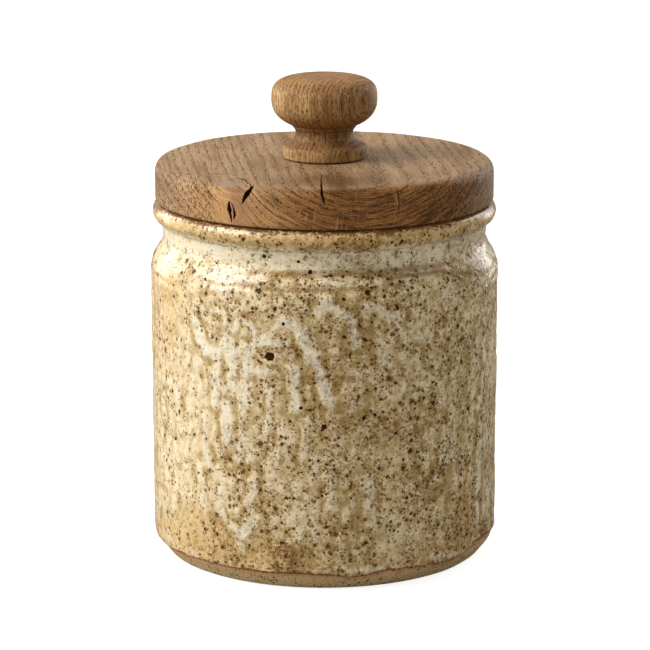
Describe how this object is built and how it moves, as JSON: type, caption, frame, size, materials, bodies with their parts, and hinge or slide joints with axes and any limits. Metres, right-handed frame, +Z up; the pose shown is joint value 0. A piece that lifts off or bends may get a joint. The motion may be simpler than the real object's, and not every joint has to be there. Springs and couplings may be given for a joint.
{
  "type": "ceramic storage jar",
  "caption": "Round straight-sided stoneware storage jar with a rolled rim and hollow neck, speckled glaze over a bare clay foot, shut by a flat oak lid with a turned knob.",
  "frame": {"origin": "middle of the jar's flat foot, on the surface that it stands on", "axes": "+Z up along the jar's axis towards the knob, -Y towards the side that the picture shows, +X to its right"},
  "size_m": [0.125, 0.125, 0.1724],
  "materials": {
    "speckled_glaze": "glossy cream to ochre glaze with iron specks, bare clay at the foot",
    "lid_oak": "oiled oak, satin, grain from front to back",
    "knob_oak": "oiled oak, satin, grain upright"
  },
  "bodies": {
    "root": {"stoneware_jar": "speckled_glaze", "oak_lid": "lid_oak", "oak_knob": "knob_oak"}
  },
  "joints": []
}
